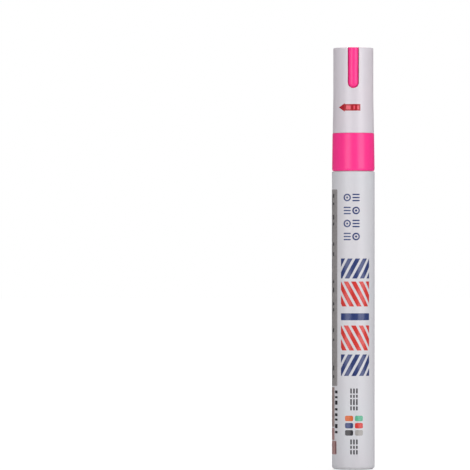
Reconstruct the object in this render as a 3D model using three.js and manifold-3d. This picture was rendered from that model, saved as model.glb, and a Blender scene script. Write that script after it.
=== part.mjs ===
// Touch-up paint pen: a capped paint marker with a lacquered aluminium barrel, a sprung valve
// behind a fibre nib, loose mixing balls, and a two-colour cap.
// Millimetres, +Z up. The pen stands on its base with the cap on top and its axis is Z.
// The slot in the cap faces -Y, which is the front.
import * as THREE from "three";
import { mergeVertices } from "three/addons/utils/BufferGeometryUtils.js";
import Module from "manifold-3d";

const wasm = await Module();
wasm.setup();

// Facets round a piece: outer shells, inner plastics, and small inner parts
const OUTER_SIDES = 48;
const INNER_SIDES = 32;
const SMALL_SIDES = 24;
const CORNER_STEPS = 3;

// Barrel: a drawn cup, closed at the base, its mouth rolled in over the front section
const BARREL_LENGTH = 97.5;
const BARREL_RADIUS = 7;
const BARREL_WALL = 0.45;
const BASE_THICKNESS = 0.7;
const BASE_CORNER = 1.1;
const BASE_INNER_CORNER = 0.6;
const BASE_RING_WIDTH = 1.1;
const DISH_DEPTH = 0.4;
const SHOULDER_CORNER = 0.45;
const LIP_THICKNESS = 0.5;

// Front section: a plug inside the barrel and a neck that the cap slides over
const PLUG_LENGTH = 12.2;
const PLUG_CLEARANCE = 0.08;
const PLUG_LEAD = 0.5;
const PLUG_WALL = 1.49;
const GASKET_THICKNESS = 0.6;
const GASKET_CLEARANCE = 0.06;
const NECK_STEP = 0.57;
const NECK_WALL = 1.72;
const NECK_LENGTH = 10.3;
const NECK_CORNER = 0.4;
const MOUTH_CLEARANCE = 0.1;
const BEAD_HEIGHT = 0.12;
const BEAD_LENGTH = 1.2;
const BEAD_ABOVE_MOUTH = 4.3;
const WEB_THICKNESS = 1;
const WEB_BELOW_PLUG_TOP = 3.2;
const WEB_HOLE_CLEARANCE = 0.9;

// Valve: a seat ring, a cage under it, and a stem that a spring holds shut
const SEAT_THICKNESS = 0.8;
const SEAT_HOLE_CLEARANCE = 0.7;
const CAGE_WALL = 0.75;
const CAGE_LENGTH = 13.2;
const CAGE_FLOOR = 0.9;
const CAGE_CLEARANCE = 0.08;
const CAGE_DRAIN_RADIUS = 0.8;
const WINDOW_WIDTH = 2.4;
const WINDOW_HEIGHT = 3.6;
const WINDOW_ABOVE_FLOOR = 0.7;
const HEAD_OVERLAP = 0.8;
const HEAD_THICKNESS = 1;
const STEM_RADIUS = 1.5;
const GUIDE_RADIUS = 1.1;
const GUIDE_LENGTH = 5.7;
const SPRING_GUIDE_CLEARANCE = 0.58;
const SPRING_WIRE_RADIUS = 0.22;
const SPRING_TURNS = 9;
const SPRING_TURN_STEPS = 10;
const SPRING_WIRE_SIDES = 5;
const SPRING_END_GAP = 0.05;

// Nib, the holder that guides it, and the felt that takes up spare paint
const NIB_RADIUS = 2;
const NIB_LENGTH = 27.5;
const NIB_TIP_LENGTH = 4.4;
const NIB_TIP_RADIUS = 0.8;
const NIB_TIP_START = 30;
const NIB_SHOULDER_STEP = 0.16;
const NIB_SHOULDER_LENGTH = 1.3;
const NIB_CLEARANCE = 0.08;
const SPIGOT_LENGTH = 7;
const SPIGOT_CLEARANCE = 0.08;
const SPIGOT_WALL = 0.8;
const HOLDER_FLANGE_STEP = 0.9;
const HOLDER_FLANGE_THICKNESS = 0.9;
const NOSE_LENGTH = 12.1;
const NOSE_STEP = 1.4;
const NOSE_TIP_WALL = 0.67;
const NOSE_CORNER = 0.3;
const FELT_LENGTH = 11.7;
const FELT_CLEARANCE = 0.1;
const FELT_END_GAP = 0.3;

// Mixing balls: two that lie side by side in the barrel
const BALL_GAP = 0.3;
const BALL_WALL_GAP = 0.4;
const BALL_FLOOR_GAP = 0.05;
const BALL_SIDES = 20;
const BALL_BANDS = 14;

// Cap: a coloured core that ends in a ring, a white shell over it, and a sealing liner inside
const CAP_LENGTH = 40.4;
const CAP_GAP = 0.1;
const RING_LENGTH = 12.4;
const RING_STEP = 0.02;
const RING_TAPER = 0.15;
const RING_CHAMFER = 0.5;
const RING_CORNER = 0.3;
const COLLAR_HEADROOM = 0.5;
const SNAP_CLEARANCE = 0.08;
const CORE_WALL = 0.885;
const CORE_TOP_THICKNESS = 1.6;
const CORE_TOP_CORNER = 0.3;
const SHELL_BELOW_TOP = 0.1;
const SHELL_STEP = 0.06;
const SHELL_TAPER = 0.21;
const SHELL_FLARE_LENGTH = 11.5;
const SHELL_WALL = 0.8;
const SHELL_CORNER = 0.4;
const SHELL_CLEARANCE = 0.1;
const SLOT_WIDTH = 3.6;
const SLOT_LENGTH = 13.3;
const SLOT_ARC_STEPS = 10;
const RIB_CLEARANCE = 0.1;
const RIB_RECESS = 0.15;
const RIB_CROWN_RADIUS = 2.2;
const RIB_END_STEPS = 8;
const LINER_WALL = 0.7;
const LINER_TOP_THICKNESS = 0.9;
const LINER_CLEARANCE = 0.08;
const LINER_SEAT_CLEARANCE = 0.135;

// How far a cutting tool runs past what it cuts
const CUT_MARGIN = 1;

// Radii, from the barrel inwards
const barrelBore = BARREL_RADIUS - BARREL_WALL;
const plugRadius = barrelBore - PLUG_CLEARANCE;
const neckRadius = plugRadius - NECK_STEP;
const mouthRadius = neckRadius + MOUTH_CLEARANCE;
const cageRadius = plugRadius - PLUG_WALL - CAGE_CLEARANCE;
const webHole = STEM_RADIUS + WEB_HOLE_CLEARANCE;
const seatHole = STEM_RADIUS + SEAT_HOLE_CLEARANCE;
const headRadius = seatHole + HEAD_OVERLAP;
const springRadius = GUIDE_RADIUS + SPRING_GUIDE_CLEARANCE + SPRING_WIRE_RADIUS;
const spigotRadius = neckRadius - NECK_WALL - SPIGOT_CLEARANCE;
const feltBore = spigotRadius - SPIGOT_WALL;
const feltRadius = feltBore - FELT_CLEARANCE;
const nibBore = NIB_RADIUS + NIB_CLEARANCE;
const noseBase = neckRadius - NOSE_STEP;
const noseTip = nibBore + NOSE_TIP_WALL;
const ballRadius = (barrelBore - BALL_WALL_GAP - BALL_GAP / 2) / 2;

// Radii of the cap
const ringBottomRadius = BARREL_RADIUS - RING_STEP;
const ringTopRadius = ringBottomRadius - RING_TAPER;
const shellBottomRadius = ringTopRadius - SHELL_STEP;
const shellTopRadius = shellBottomRadius - SHELL_TAPER;
const collarBore = neckRadius + BEAD_HEIGHT + SNAP_CLEARANCE;
const coreBottomRadius = shellBottomRadius - SHELL_WALL - SHELL_CLEARANCE;
const coreTopRadius = shellTopRadius - SHELL_WALL - SHELL_CLEARANCE;
const coreBore = coreTopRadius - CORE_WALL;
const linerRadius = coreBore - LINER_CLEARANCE;
const linerBore = linerRadius - LINER_WALL;

// Heights in the pen
const barrelFloor = DISH_DEPTH + BASE_THICKNESS;
const lipUnderside = BARREL_LENGTH - LIP_THICKNESS;
const plugTop = lipUnderside - GASKET_THICKNESS;
const plugBottom = plugTop - PLUG_LENGTH;
const neckTop = plugTop + NECK_LENGTH;
const webTop = plugTop - WEB_BELOW_PLUG_TOP;
const webBottom = webTop - WEB_THICKNESS;
const seatBottom = webBottom - SEAT_THICKNESS;
const cageBottom = seatBottom - CAGE_LENGTH;
const springFloor = cageBottom + CAGE_FLOOR;
const headBottom = seatBottom - HEAD_THICKNESS;
const spigotBottom = neckTop - SPIGOT_LENGTH;
const noseBottom = neckTop + HOLDER_FLANGE_THICKNESS;
const noseTop = noseBottom + NOSE_LENGTH;
const nibBottom = spigotBottom;
const feltBottom = spigotBottom + FELT_END_GAP;
const feltTop = feltBottom + FELT_LENGTH;

// Heights in the cap. The liner's rim lies where the nose is as wide as its bore, less a clearance
const ringBottom = BARREL_LENGTH + CAP_GAP;
const ringTop = ringBottom + RING_LENGTH;
const flareTop = ringTop + SHELL_FLARE_LENGTH;
const capTop = ringBottom + CAP_LENGTH;
const shellTop = capTop - SHELL_BELOW_TOP;
const slotBottom = shellTop - SLOT_LENGTH;
const collarTop = noseBottom + COLLAR_HEADROOM;
const coreCeiling = capTop - CORE_TOP_THICKNESS;
const linerSeatShare = (noseBase - linerBore + LINER_SEAT_CLEARANCE) / (noseBase - noseTip);
const linerBottom = noseBottom + NOSE_LENGTH * linerSeatShare;

function finish(color, roughness, metalness) {
  return new THREE.MeshStandardMaterial({ color, roughness, metalness });
}

const whiteLacquer = finish(0xd9d4da, 0.32, 0.25);
const whitePlastic = finish(0xe4e0e4, 0.35, 0);
const pinkPlastic = finish(0xf23a84, 0.3, 0);
const naturalPlastic = finish(0xeceae2, 0.5, 0);
const greyPlastic = finish(0xc9c9cc, 0.45, 0);
const blackRubber = finish(0x2a2a2c, 0.8, 0);
const steel = finish(0xb4b7bb, 0.25, 1);
const fibre = finish(0xf4eef0, 0.9, 0);
const felt = finish(0xe9e4e0, 1, 0);

// Points of a round corner, by angle in degrees from the outward direction towards +Z
function corner(centreRadius, centreZ, radius, from, to, steps = CORNER_STEPS) {
  const points = [];
  for (let step = 0; step <= steps; step += 1) {
    const angle = THREE.MathUtils.degToRad(from + ((to - from) * step) / steps);
    points.push([centreRadius + radius * Math.cos(angle), centreZ + radius * Math.sin(angle)]);
  }
  return points;
}

// A solid of revolution about Z, from [radius, z] points listed anticlockwise in that plane,
// which start and end on the axis
function turned(profile, sides) {
  const points = profile.map(([radius, z]) => new THREE.Vector2(radius, z));
  return new THREE.LatheGeometry(points, sides).rotateX(Math.PI / 2);
}

// The same for a profile that closes on itself
function turnedRing(profile, sides) {
  return turned([...profile, profile[0]], sides);
}

function piece(name, geometry, material) {
  const mesh = new THREE.Mesh(geometry, material);
  mesh.name = name;
  return mesh;
}

function toSolid(geometry) {
  const bare = geometry.clone();
  bare.deleteAttribute("normal");
  bare.deleteAttribute("uv");
  const merged = mergeVertices(bare, 1e-4);
  const solidMesh = new wasm.Mesh({
    numProp: 3,
    vertProperties: merged.attributes.position.array,
    triVerts: new Uint32Array(merged.index.array),
  });
  return new wasm.Manifold(solidMesh);
}

function toGeometry(solid) {
  const result = solid.getMesh();
  const geometry = new THREE.BufferGeometry();
  geometry.setAttribute("position", new THREE.BufferAttribute(result.vertProperties, 3));
  geometry.setIndex(new THREE.BufferAttribute(result.triVerts, 1));
  geometry.computeVertexNormals();
  return geometry;
}

function barrel() {
  const outerCorner = BARREL_RADIUS - BASE_CORNER;
  const innerCorner = barrelBore - BASE_INNER_CORNER;
  const shoulder = BARREL_RADIUS - SHOULDER_CORNER;
  const dishRim = outerCorner - BASE_RING_WIDTH;
  const profile = [
    [0, DISH_DEPTH],
    [dishRim - DISH_DEPTH, DISH_DEPTH],
    [dishRim, 0],
    ...corner(outerCorner, BASE_CORNER, BASE_CORNER, -90, 0),
    ...corner(shoulder, BARREL_LENGTH - SHOULDER_CORNER, SHOULDER_CORNER, 0, 90),
    [mouthRadius, BARREL_LENGTH],
    [mouthRadius, lipUnderside],
    [barrelBore, lipUnderside],
    ...corner(innerCorner, barrelFloor + BASE_INNER_CORNER, BASE_INNER_CORNER, 0, -90),
    [0, barrelFloor],
  ];
  return piece("barrel", turned(profile, OUTER_SIDES), whiteLacquer);
}

// Packing that the barrel's rolled mouth presses onto the top of the plug
function barrelGasket() {
  const inner = neckRadius + GASKET_CLEARANCE;
  const profile = [
    [inner, plugTop],
    [plugRadius, plugTop],
    [plugRadius, lipUnderside],
    [inner, lipUnderside],
  ];
  return piece("barrel_gasket", turnedRing(profile, INNER_SIDES), blackRubber);
}

// A web across the inside parts the valve's bore below from the nib holder's bore above
function frontSection() {
  const lowerBore = cageRadius + CAGE_CLEARANCE;
  const upperBore = spigotRadius + SPIGOT_CLEARANCE;
  const beadMiddle = BARREL_LENGTH + BEAD_ABOVE_MOUTH;
  const profile = [
    [lowerBore, plugBottom],
    [plugRadius - PLUG_LEAD, plugBottom],
    [plugRadius, plugBottom + PLUG_LEAD],
    [plugRadius, plugTop],
    [neckRadius, plugTop],
    [neckRadius, beadMiddle - BEAD_LENGTH / 2],
    [neckRadius + BEAD_HEIGHT, beadMiddle],
    [neckRadius, beadMiddle + BEAD_LENGTH / 2],
    ...corner(neckRadius - NECK_CORNER, neckTop - NECK_CORNER, NECK_CORNER, 0, 90),
    [upperBore, neckTop],
    [upperBore, webTop],
    [webHole, webTop],
    [webHole, webBottom],
    [lowerBore, webBottom],
  ];
  return piece("front_section", turnedRing(profile, INNER_SIDES), whitePlastic);
}

function valveSeat() {
  const profile = [
    [seatHole, seatBottom],
    [cageRadius, seatBottom],
    [cageRadius, webBottom],
    [seatHole, webBottom],
  ];
  return piece("valve_seat", turnedRing(profile, SMALL_SIDES), blackRubber);
}

// A cup open at the top, with a drain in its floor and four windows for the paint
function valveCage() {
  const cageBore = cageRadius - CAGE_WALL;
  const cup = turnedRing([
    [CAGE_DRAIN_RADIUS, cageBottom],
    [cageRadius, cageBottom],
    [cageRadius, seatBottom],
    [cageBore, seatBottom],
    [cageBore, springFloor],
    [CAGE_DRAIN_RADIUS, springFloor],
  ], INNER_SIDES);
  const windowMiddle = springFloor + WINDOW_ABOVE_FLOOR + WINDOW_HEIGHT / 2;
  const across = 2 * (cageRadius + CUT_MARGIN);
  const alongX = new THREE.BoxGeometry(across, WINDOW_WIDTH, WINDOW_HEIGHT);
  const alongY = new THREE.BoxGeometry(WINDOW_WIDTH, across, WINDOW_HEIGHT);
  alongX.translate(0, 0, windowMiddle);
  alongY.translate(0, 0, windowMiddle);
  const cage = toSolid(cup).subtract(toSolid(alongX)).subtract(toSolid(alongY));
  return piece("valve_cage", toGeometry(cage), naturalPlastic);
}

// The head closes on the underside of the seat, and the rod above it meets the nib's rear end
function valveStem() {
  const profile = [
    [0, headBottom - GUIDE_LENGTH],
    [GUIDE_RADIUS, headBottom - GUIDE_LENGTH],
    [GUIDE_RADIUS, headBottom],
    [headRadius, headBottom],
    [headRadius, seatBottom],
    [STEM_RADIUS, seatBottom],
    [STEM_RADIUS, nibBottom],
    [0, nibBottom],
  ];
  return piece("valve_stem", turned(profile, SMALL_SIDES), greyPlastic);
}

// The middle line of the spring, a helix between the floor of the cage and the stem's head
class SpringLine extends THREE.Curve {
  getPoint(t, target = new THREE.Vector3()) {
    const endGap = SPRING_END_GAP + SPRING_WIRE_RADIUS;
    const bottom = springFloor + endGap;
    const top = headBottom - endGap;
    const angle = 2 * Math.PI * SPRING_TURNS * t;
    const x = springRadius * Math.cos(angle);
    const y = springRadius * Math.sin(angle);
    return target.set(x, y, bottom + (top - bottom) * t);
  }
}

function valveSpring() {
  const corners = [];
  for (let side = 0; side < SPRING_WIRE_SIDES; side += 1) {
    const angle = (2 * Math.PI * side) / SPRING_WIRE_SIDES;
    const x = SPRING_WIRE_RADIUS * Math.cos(angle);
    const y = SPRING_WIRE_RADIUS * Math.sin(angle);
    corners.push(new THREE.Vector2(x, y));
  }
  const geometry = new THREE.ExtrudeGeometry(new THREE.Shape(corners), {
    steps: SPRING_TURNS * SPRING_TURN_STEPS,
    extrudePath: new SpringLine(),
  });
  return piece("valve_spring", geometry, steel);
}

// A spigot in the neck, a flange on top of it, and the tapered nose that guides the nib
function nibHolder() {
  const chamberTop = feltTop + FELT_END_GAP;
  const profile = [
    [feltBore, spigotBottom],
    [spigotRadius, spigotBottom],
    [spigotRadius, neckTop],
    [neckRadius - HOLDER_FLANGE_STEP, neckTop],
    [neckRadius - HOLDER_FLANGE_STEP, noseBottom],
    [noseBase, noseBottom],
    ...corner(noseTip - NOSE_CORNER, noseTop - NOSE_CORNER, NOSE_CORNER, 0, 90),
    [nibBore, noseTop],
    [nibBore, chamberTop],
    [feltBore, chamberTop],
  ];
  return piece("nib_holder", turnedRing(profile, INNER_SIDES), whitePlastic);
}

function overflowFelt() {
  const profile = [
    [nibBore, feltBottom],
    [feltRadius, feltBottom],
    [feltRadius, feltTop],
    [nibBore, feltTop],
  ];
  return piece("overflow_felt", turnedRing(profile, SMALL_SIDES), felt);
}

// A fibre rod with a bullet tip
function nib() {
  const tip = nibBottom + NIB_LENGTH;
  const shoulder = tip - NIB_TIP_LENGTH;
  const profile = [
    [0, nibBottom],
    [NIB_RADIUS, nibBottom],
    [NIB_RADIUS, shoulder],
    [NIB_RADIUS - NIB_SHOULDER_STEP, shoulder + NIB_SHOULDER_LENGTH],
    ...corner(0, tip - NIB_TIP_RADIUS, NIB_TIP_RADIUS, NIB_TIP_START, 90),
  ];
  return piece("nib", turned(profile, SMALL_SIDES), fibre);
}

// side is -1 for the ball on the left and 1 for the ball on the right
function mixingBall(name, side) {
  const geometry = new THREE.SphereGeometry(ballRadius, BALL_SIDES, BALL_BANDS);
  const ball = piece(name, geometry.rotateX(Math.PI / 2), steel);
  const offset = ballRadius + BALL_GAP / 2;
  ball.position.set(side * offset, 0, barrelFloor + BALL_FLOOR_GAP + ballRadius);
  return ball;
}

// An upright strip with a round lower end, from backY forward to frontY
function tongue(width, bottom, top, backY, frontY) {
  const radius = width / 2;
  const outline = new THREE.Shape();
  outline.moveTo(-radius, bottom + radius);
  outline.absarc(0, bottom + radius, radius, Math.PI, 2 * Math.PI, false);
  outline.lineTo(radius, top);
  outline.lineTo(-radius, top);
  outline.closePath();
  const geometry = new THREE.ExtrudeGeometry(outline, {
    depth: backY - frontY,
    bevelEnabled: false,
    curveSegments: SLOT_ARC_STEPS,
  });
  return geometry.rotateX(Math.PI / 2).translate(0, backY, 0);
}

// The rib that fills the slot of the shell: crowned across, its lower end round like a bullet
function capRib() {
  const face = shellTopRadius - RIB_RECESS;
  const root = coreTopRadius - CORE_WALL / 2;
  const width = SLOT_WIDTH - 2 * RIB_CLEARANCE;
  const strip = tongue(width, slotBottom + RIB_CLEARANCE, capTop, -root, -face - CUT_MARGIN);
  const endMiddle = slotBottom + RIB_CLEARANCE + width / 2;
  const crown = turned([
    ...corner(0, endMiddle, RIB_CROWN_RADIUS, -90, 0, RIB_END_STEPS),
    [RIB_CROWN_RADIUS, capTop],
    [0, capTop],
  ], OUTER_SIDES);
  crown.translate(0, RIB_CROWN_RADIUS - face, 0);
  return toSolid(strip).intersect(toSolid(crown));
}

// The ring between barrel and shell, the tube under the shell, its closed top, and the rib
function capCore() {
  const profile = [
    [collarBore, ringBottom],
    [ringBottomRadius - RING_CHAMFER, ringBottom],
    [ringBottomRadius, ringBottom + RING_CHAMFER],
    ...corner(ringTopRadius - RING_CORNER, ringTop - RING_CORNER, RING_CORNER, 0, 90),
    [coreBottomRadius, ringTop],
    [coreTopRadius, flareTop],
    ...corner(coreTopRadius - CORE_TOP_CORNER, capTop - CORE_TOP_CORNER, CORE_TOP_CORNER, 0, 90),
    [0, capTop],
    [0, coreCeiling],
    [coreBore, coreCeiling],
    [coreBore, collarTop],
    [collarBore, collarTop],
  ];
  const core = toSolid(turnedRing(profile, OUTER_SIDES)).add(capRib());
  return piece("cap_core", toGeometry(core), pinkPlastic);
}

// A sleeve that stands on the ring, flared towards it, with the slot cut from its top rim
function capShell() {
  const profile = [
    [shellBottomRadius - SHELL_WALL, ringTop],
    [shellBottomRadius, ringTop],
    [shellTopRadius, flareTop],
    ...corner(shellTopRadius - SHELL_CORNER, shellTop - SHELL_CORNER, SHELL_CORNER, 0, 90),
    [shellTopRadius - SHELL_WALL, shellTop],
    [shellTopRadius - SHELL_WALL, flareTop],
  ];
  const slotFront = -shellTopRadius - CUT_MARGIN;
  const slot = tongue(SLOT_WIDTH, slotBottom, shellTop + CUT_MARGIN, 0, slotFront);
  const shell = toSolid(turnedRing(profile, OUTER_SIDES)).subtract(toSolid(slot));
  return piece("cap_shell", toGeometry(shell), whitePlastic);
}

function innerCap() {
  const linerCeiling = coreCeiling - LINER_TOP_THICKNESS;
  const profile = [
    [linerBore, linerBottom],
    [linerRadius, linerBottom],
    [linerRadius, coreCeiling],
    [0, coreCeiling],
    [0, linerCeiling],
    [linerBore, linerCeiling],
  ];
  return piece("inner_cap", turnedRing(profile, INNER_SIDES), naturalPlastic);
}

const pen = new THREE.Group();
pen.add(barrel(), barrelGasket(), frontSection());
pen.add(valveSeat(), valveCage(), valveStem(), valveSpring());
pen.add(nibHolder(), overflowFelt(), nib());
pen.add(mixingBall("mixing_ball_1", -1), mixingBall("mixing_ball_2", 1));

const cap = new THREE.Group();
cap.add(capCore(), capShell(), innerCap());

const touchUpPen = new THREE.Group();
touchUpPen.add(pen, cap);

export default touchUpPen;
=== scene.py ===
# Looks for the touch-up paint pen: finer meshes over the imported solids, printed marks,
# procedural materials, a pale floor, soft lights and the camera.
from math import acos, asin, atan2, ceil, copysign, cos, hypot, isclose, pi, radians, sin, sqrt, tan

import bmesh
import bpy
from mathutils import Matrix, Vector

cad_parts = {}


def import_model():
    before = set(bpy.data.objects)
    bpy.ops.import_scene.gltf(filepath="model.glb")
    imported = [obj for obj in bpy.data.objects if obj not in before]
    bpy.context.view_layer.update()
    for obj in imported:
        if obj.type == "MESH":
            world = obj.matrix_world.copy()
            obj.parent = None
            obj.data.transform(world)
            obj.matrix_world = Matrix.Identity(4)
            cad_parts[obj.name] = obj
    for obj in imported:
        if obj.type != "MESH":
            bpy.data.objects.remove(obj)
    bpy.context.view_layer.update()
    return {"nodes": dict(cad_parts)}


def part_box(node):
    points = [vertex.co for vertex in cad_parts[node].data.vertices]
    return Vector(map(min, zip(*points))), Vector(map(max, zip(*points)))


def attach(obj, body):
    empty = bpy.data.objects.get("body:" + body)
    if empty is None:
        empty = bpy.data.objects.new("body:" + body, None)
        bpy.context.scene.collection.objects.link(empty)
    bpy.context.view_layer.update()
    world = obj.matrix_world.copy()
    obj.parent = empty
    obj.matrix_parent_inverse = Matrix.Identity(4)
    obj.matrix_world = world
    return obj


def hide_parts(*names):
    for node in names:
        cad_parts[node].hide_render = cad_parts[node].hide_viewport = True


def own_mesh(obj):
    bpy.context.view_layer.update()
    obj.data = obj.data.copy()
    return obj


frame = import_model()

MM = 0.001
MICRON = 0.000001
X, Z = 0, 2


def span(node, axis=Z):
    """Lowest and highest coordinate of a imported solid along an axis, in millimetres."""
    low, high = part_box(node)
    return round(low[axis] / MM, 4), round(high[axis] / MM, 4)


def reach(node):
    """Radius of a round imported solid, in millimetres."""
    return span(node, X)[1]


# Sizes in millimetres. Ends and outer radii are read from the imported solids, and walls, steps
# and clearances are the solids' own.
BARREL_TOP, BARREL_RADIUS = span("barrel")[1], reach("barrel")
BARREL_WALL, BARREL_FLOOR = 0.45, 1.1
BARREL_BORE = BARREL_RADIUS - BARREL_WALL
DISH_DEPTH, DISH_RIM = 0.4, 4.8

PLUG_BOTTOM, NECK_TOP = span("front_section")
PLUG_TOP, LIP_UNDERSIDE = span("barrel_gasket")
PLUG_RADIUS, PLUG_LEAD, BORE_CLEARANCE = reach("front_section"), 0.5, 0.08
NECK_STEP, MOUTH_CLEARANCE = 0.57, 0.1
NECK_RADIUS = PLUG_RADIUS - NECK_STEP
MOUTH_RADIUS = NECK_RADIUS + MOUTH_CLEARANCE
LOWER_BORE = reach("valve_cage") + BORE_CLEARANCE
WEB_BOTTOM, WEB_THICKNESS, WEB_HOLE = span("valve_seat")[1], 1.0, 2.4
BEAD_ABOVE_MOUTH, BEAD_HALF, BEAD_HEIGHT = 4.3, 0.6, 0.12

SPIGOT_BOTTOM, NOSE_TOP = span("nib_holder")
FLANGE_RADIUS, FLANGE_THICKNESS = reach("nib_holder"), 0.9
SPIGOT_RADIUS, SPIGOT_WALL, FELT_END_GAP = 4.1, 0.8, 0.3
UPPER_BORE = SPIGOT_RADIUS + BORE_CLEARANCE
FELT_BORE = SPIGOT_RADIUS - SPIGOT_WALL
FELT_CHAMBER_TOP = span("overflow_felt")[1] + FELT_END_GAP
NOSE_BOTTOM = NECK_TOP + FLANGE_THICKNESS
NOSE_BASE, NOSE_TIP_WALL = 4.5, 0.67

NIB_BOTTOM, NIB_TOP = span("nib")
NIB_RADIUS, NIB_TIP_LENGTH = reach("nib"), 4.4
NIB_BORE = NIB_RADIUS + BORE_CLEARANCE
NOSE_TIP = NIB_BORE + NOSE_TIP_WALL

SPRING_END_GAP, CAGE_FLOOR, STEM_HEAD = 0.05, 0.9, 1.0
SPRING_FLOOR = span("valve_cage")[0] + CAGE_FLOOR + SPRING_END_GAP
SPRING_TOP = span("valve_seat")[0] - STEM_HEAD - SPRING_END_GAP
SPRING_RADIUS, SPRING_WIRE, SPRING_TURNS, SPRING_TRAVEL = 1.9, 0.22, 9, 2.0

CAP_BOTTOM, CAP_TOP = span("cap_core")
RING_BOTTOM_RADIUS, RING_TAPER = reach("cap_core"), 0.15
COLLAR_CLEARANCE, COLLAR_HEADROOM = 0.2, 0.5
RING_TOP, SHELL_TOP = span("cap_shell")
SHELL_BOTTOM_RADIUS, SHELL_TAPER, SHELL_WALL = reach("cap_shell"), 0.21, 0.8
SHELL_TOP_RADIUS = SHELL_BOTTOM_RADIUS - SHELL_TAPER
FLARE_TOP = RING_TOP + 11.5
CORE_STEP = SHELL_WALL + 0.1
CORE_BOTTOM_RADIUS = SHELL_BOTTOM_RADIUS - CORE_STEP
CORE_TOP_RADIUS = SHELL_TOP_RADIUS - CORE_STEP
CORE_WALL, CORE_DISC_RECESS = 0.885, 0.04
SLOT_HALF_WIDTH, SLOT_LENGTH = 1.8, 13.3
SLOT_BOTTOM = SHELL_TOP - SLOT_LENGTH
RIB_CLEARANCE, RIB_RECESS, RIB_CROWN_RADIUS, RIB_BACK = 0.1, 0.15, 2.2, 5.2
RIB_HALF_WIDTH = SLOT_HALF_WIDTH - RIB_CLEARANCE
RIB_BOTTOM = SLOT_BOTTOM + RIB_CLEARANCE
RIB_FACE = SHELL_TOP_RADIUS - RIB_RECESS
LINER_BOTTOM, LINER_TOP = span("inner_cap")
LINER_RADIUS, LINER_WALL, LINER_TOP_THICKNESS = reach("inner_cap"), 0.7, 0.9

# Fineness of the meshes
SIDES, NIB_SIDES, BALL_SIDES, BALL_BANDS = 180, 96, 56, 28
CORNER_STEPS, BEVEL_SEGMENTS = 6, 4

# The camera stands in front of the pen, level with the frame's middle row. The pen's axis is at
# column AXIS_X, with its lower end at row BASE_Y, and there a pixel is PIXEL millimetres.
PIXEL = 0.3277
AXIS_X = 353.3
BASE_Y = 468.85
FRAME_PIXELS = 470
MIDDLE = FRAME_PIXELS / 2
CAMERA_DISTANCE = 1500.0
CAMERA_HEIGHT = (BASE_Y - MIDDLE) * PIXEL
SENSOR = 36.0

# Materials

# Most of a noise texture's values lie between these two
NOISE_LOW, NOISE_HIGH = 0.3, 0.7
# Sockets of a colour Mix node: its two colours, and its result
MIX_FIRST, MIX_SECOND, MIX_RESULT = 6, 7, 2
COATING_IOR = 1.4


def new_material(name):
    material = bpy.data.materials.new(name)
    material.use_nodes = True
    return material


class Nodes:
    """A node tree, with short ways to add to it."""

    def __init__(self, tree):
        self.tree = tree

    def feed(self, socket, source):
        """Gives a socket a constant or the output of another node."""
        if isinstance(source, bpy.types.NodeSocket):
            self.tree.links.new(source, socket)
        else:
            socket.default_value = source

    def add(self, kind, sources=None, **settings):
        """A new shader node. Sources say what its sockets are fed, by name or by number."""
        node = self.tree.nodes.new("ShaderNode" + kind)
        for key, value in settings.items():
            setattr(node, key, value)
        for socket, source in (sources or {}).items():
            self.feed(node.inputs[socket], source)
        return node

    def remap(self, value, low, high, to_low=0.0, to_high=1.0, **settings):
        """to_low where the value is low or less, to_high where it is high or more."""
        sources = {"Value": value, "From Min": low, "From Max": high, "To Min": to_low, "To Max": to_high}
        return self.add("MapRange", sources, **settings).outputs["Result"]

    def math(self, operation, first, second):
        node = self.add("Math", {0: first, 1: second}, operation=operation, use_clamp=True)
        return node.outputs["Value"]

    def any_ray(self, *kinds):
        """1 for a ray of one of these kinds, and 0 for any other."""
        path = self.add("LightPath")
        seen = path.outputs[f"Is {kinds[0]} Ray"]
        for kind in kinds[1:]:
            seen = self.math("MAXIMUM", seen, path.outputs[f"Is {kind} Ray"])
        return seen


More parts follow.
